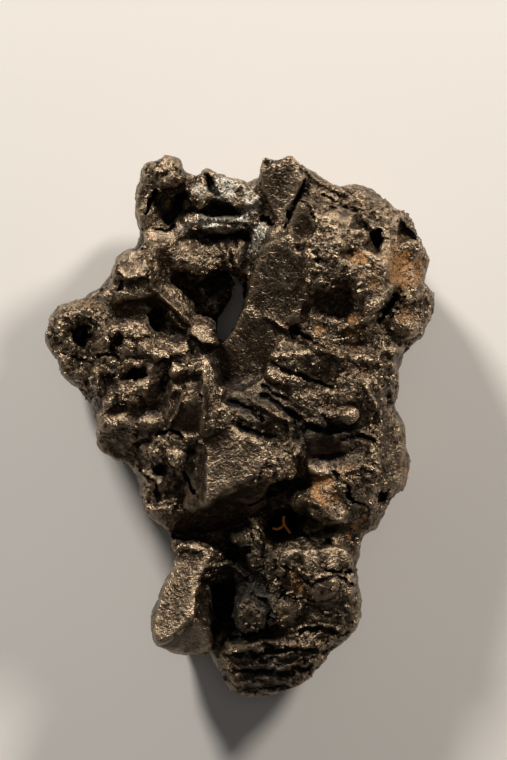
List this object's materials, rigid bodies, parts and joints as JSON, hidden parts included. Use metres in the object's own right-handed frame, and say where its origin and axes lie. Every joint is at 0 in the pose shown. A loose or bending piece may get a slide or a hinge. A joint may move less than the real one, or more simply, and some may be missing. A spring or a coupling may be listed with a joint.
{
  "type": "acanthite specimen",
  "caption": "Lump of grown-together metallic crystals with a knobbed upper arm, a bridge over a narrow gap, deep hollows and a tapering foot; a display mineral lying on its flat broken back",
  "frame": {"origin": "middle of the bounding box's bottom, on the plane of the flat broken back that the specimen rests on", "axes": "+Z out of the shown side, +Y along the specimen's long way towards its knobbed end, +X to the right of the shown side"},
  "size_m": [0.0388, 0.0542, 0.0195],
  "materials": {
    "acanthite": "dark gunmetal crystal skin with a scratchy sheen, sooty hollows and rusty stains"
  },
  "bodies": {
    "root": {"acanthite": "acanthite"}
  },
  "joints": []
}
